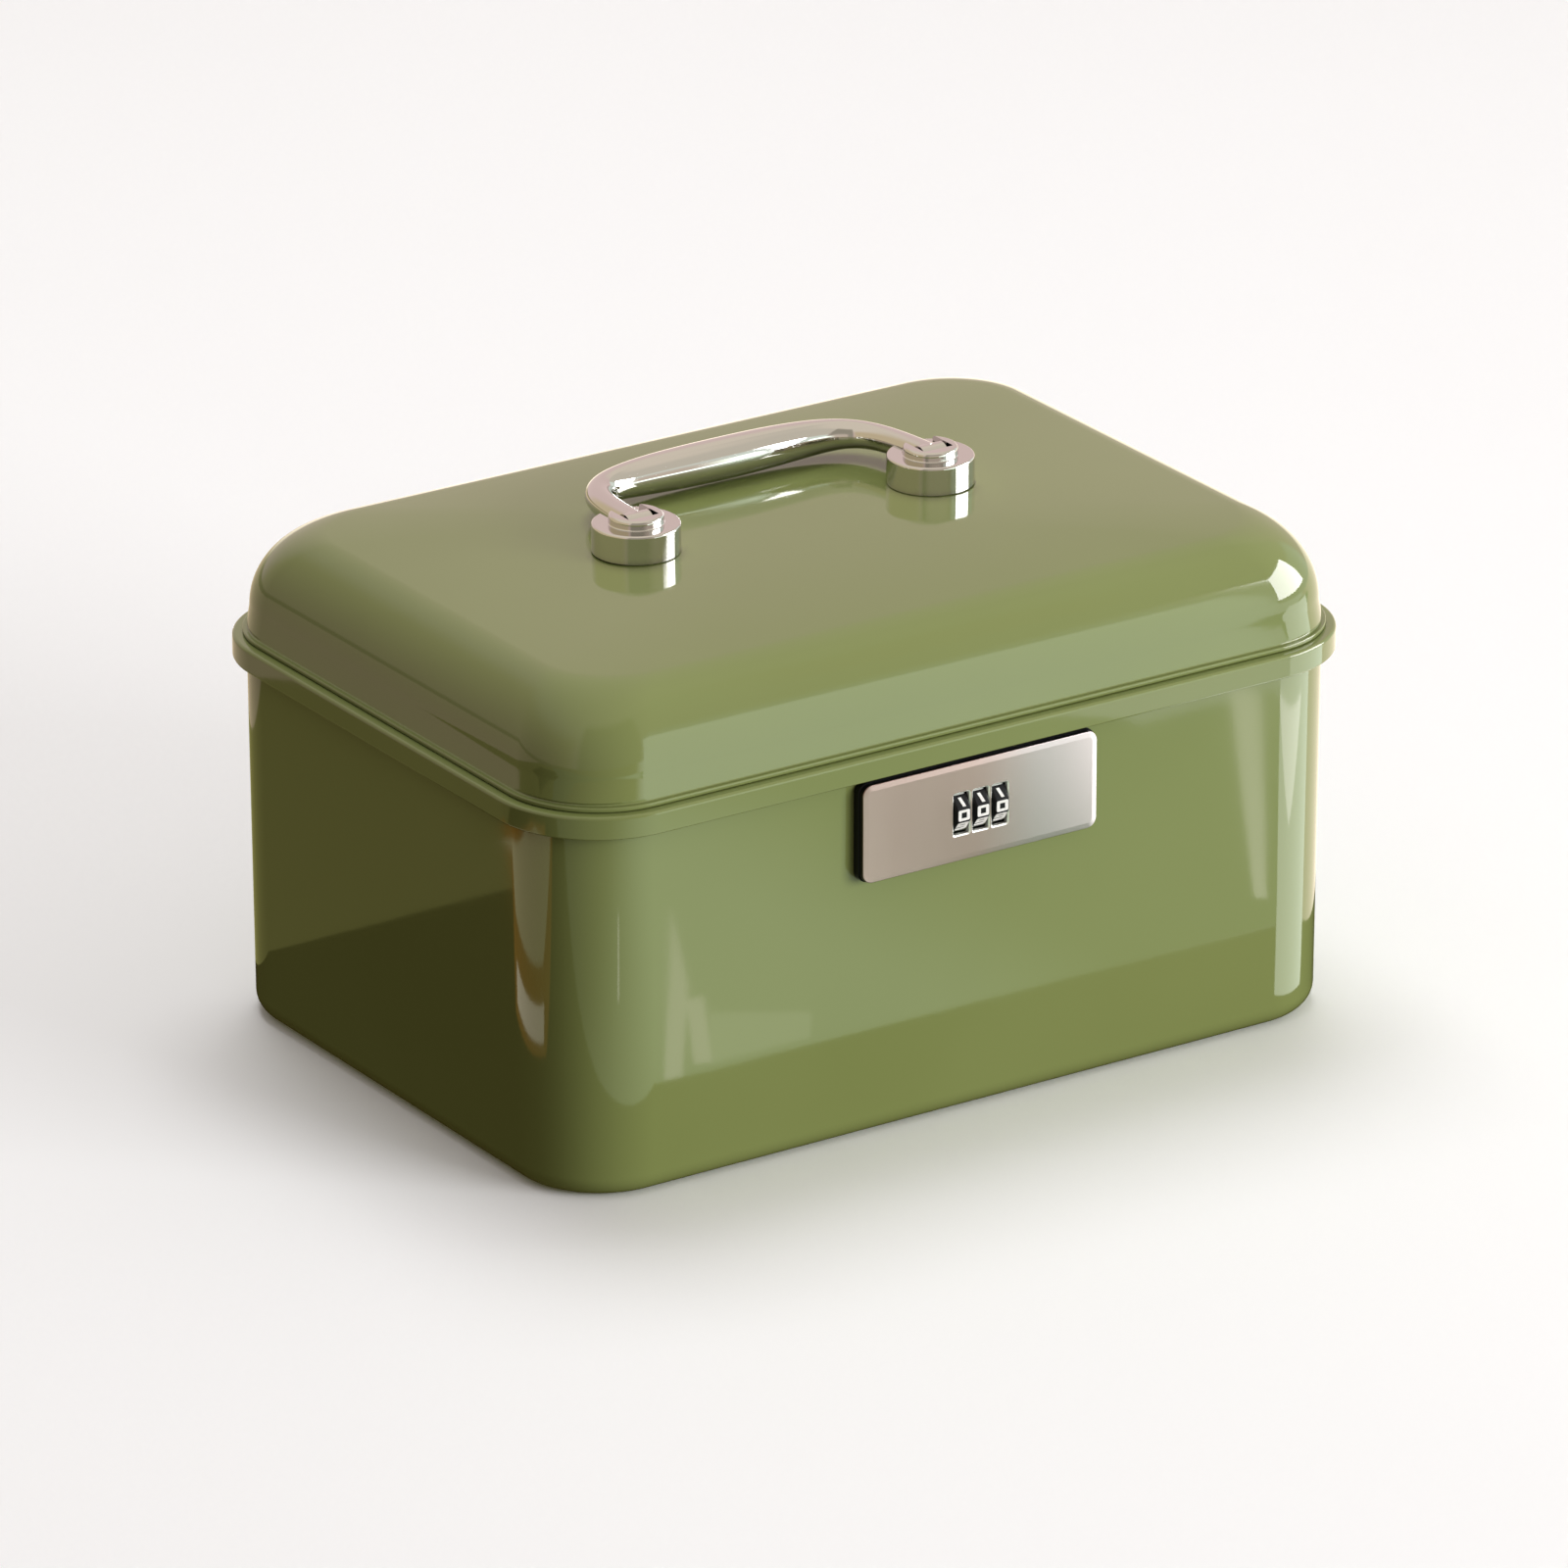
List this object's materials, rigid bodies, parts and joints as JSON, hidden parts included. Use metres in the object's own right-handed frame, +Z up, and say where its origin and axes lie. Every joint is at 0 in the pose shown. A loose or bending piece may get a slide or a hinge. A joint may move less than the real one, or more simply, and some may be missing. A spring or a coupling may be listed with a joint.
{
  "type": "medication lock box",
  "caption": "Lockable steel medicine box with a domed hinged lid, a folding chrome carrying handle and a number lock with turning wheels in a front plate.",
  "frame": {"origin": "centre of the flat base, on the surface that the box stands on", "axes": "+X along the box to the right as seen from the front, +Y from the lock plate to the hinges, +Z up"},
  "size_m": [0.265, 0.198, 0.1564],
  "materials": {
    "green_enamel": "glossy stoved enamel",
    "chrome": "polished chrome plating",
    "brushed_plate": "fine satin with a bevelled edge",
    "black_plastic": "moulded, satin",
    "zinc_steel": "bright zinc plating"
  },
  "bodies": {
    "body": {"body_shell": "green_enamel", "hinge_body_leaf_left": "chrome", "hinge_body_leaf_right": "chrome", "hinge_pin_left": "zinc_steel", "hinge_pin_right": "zinc_steel", "body_rivet_1": "zinc_steel", "body_rivet_2": "zinc_steel", "body_rivet_3": "zinc_steel", "body_rivet_4": "zinc_steel", "lock_plate": "brushed_plate", "lock_backing": "black_plastic", "lock_case": "black_plastic", "lock_cover": "zinc_steel", "lock_screw_1": "zinc_steel", "lock_screw_2": "zinc_steel", "lock_screw_3": "zinc_steel", "lock_screw_4": "zinc_steel", "dial_shaft": "zinc_steel", "detent_spring": "zinc_steel"},
    "lid": {"lid_shell": "green_enamel", "lid_strike": "zinc_steel", "hinge_lid_leaf_left": "chrome", "hinge_lid_leaf_right": "chrome", "lid_rivet_1": "zinc_steel", "lid_rivet_2": "zinc_steel", "lid_rivet_3": "zinc_steel", "lid_rivet_4": "zinc_steel", "handle_base_left": "chrome", "handle_base_right": "chrome", "handle_pin_left": "zinc_steel", "handle_pin_right": "zinc_steel", "handle_washer_left": "zinc_steel", "handle_washer_right": "zinc_steel", "handle_nut_left": "zinc_steel", "handle_nut_right": "zinc_steel"},
    "handle": {"carry_handle": "chrome"},
    "dial_1": {"digit_wheel_1": "black_plastic", "code_ring_1": "zinc_steel"},
    "dial_2": {"digit_wheel_2": "black_plastic", "code_ring_2": "zinc_steel"},
    "dial_3": {"digit_wheel_3": "black_plastic", "code_ring_3": "zinc_steel"},
    "latch": {"latch_bolt": "zinc_steel"}
  },
  "joints": [
    {"name": "lid_hinge", "type": "hinge", "parent": "body", "child": "lid", "pos_m": [0, 0.0984, 0.113], "axis": [-1, 0, 0], "range_deg": [0, 105]},
    {"name": "handle_fold", "type": "hinge", "parent": "lid", "child": "handle", "pos_m": [0, 0, 0.15106], "axis": [1, 0, 0], "range_deg": [0, 90]},
    {"name": "dial_1_turn", "type": "hinge", "parent": "body", "child": "dial_1", "pos_m": [-0.0062, -0.0907, 0.0896], "axis": [1, 0, 0], "continuous": true},
    {"name": "dial_2_turn", "type": "hinge", "parent": "body", "child": "dial_2", "pos_m": [0, -0.0907, 0.0896], "axis": [1, 0, 0], "continuous": true},
    {"name": "dial_3_turn", "type": "hinge", "parent": "body", "child": "dial_3", "pos_m": [0.0062, -0.0907, 0.0896], "axis": [1, 0, 0], "continuous": true},
    {"name": "latch_slide", "type": "slide", "parent": "body", "child": "latch", "axis": [1, 0, 0], "range_m": [0, 0.0025]}
  ]
}
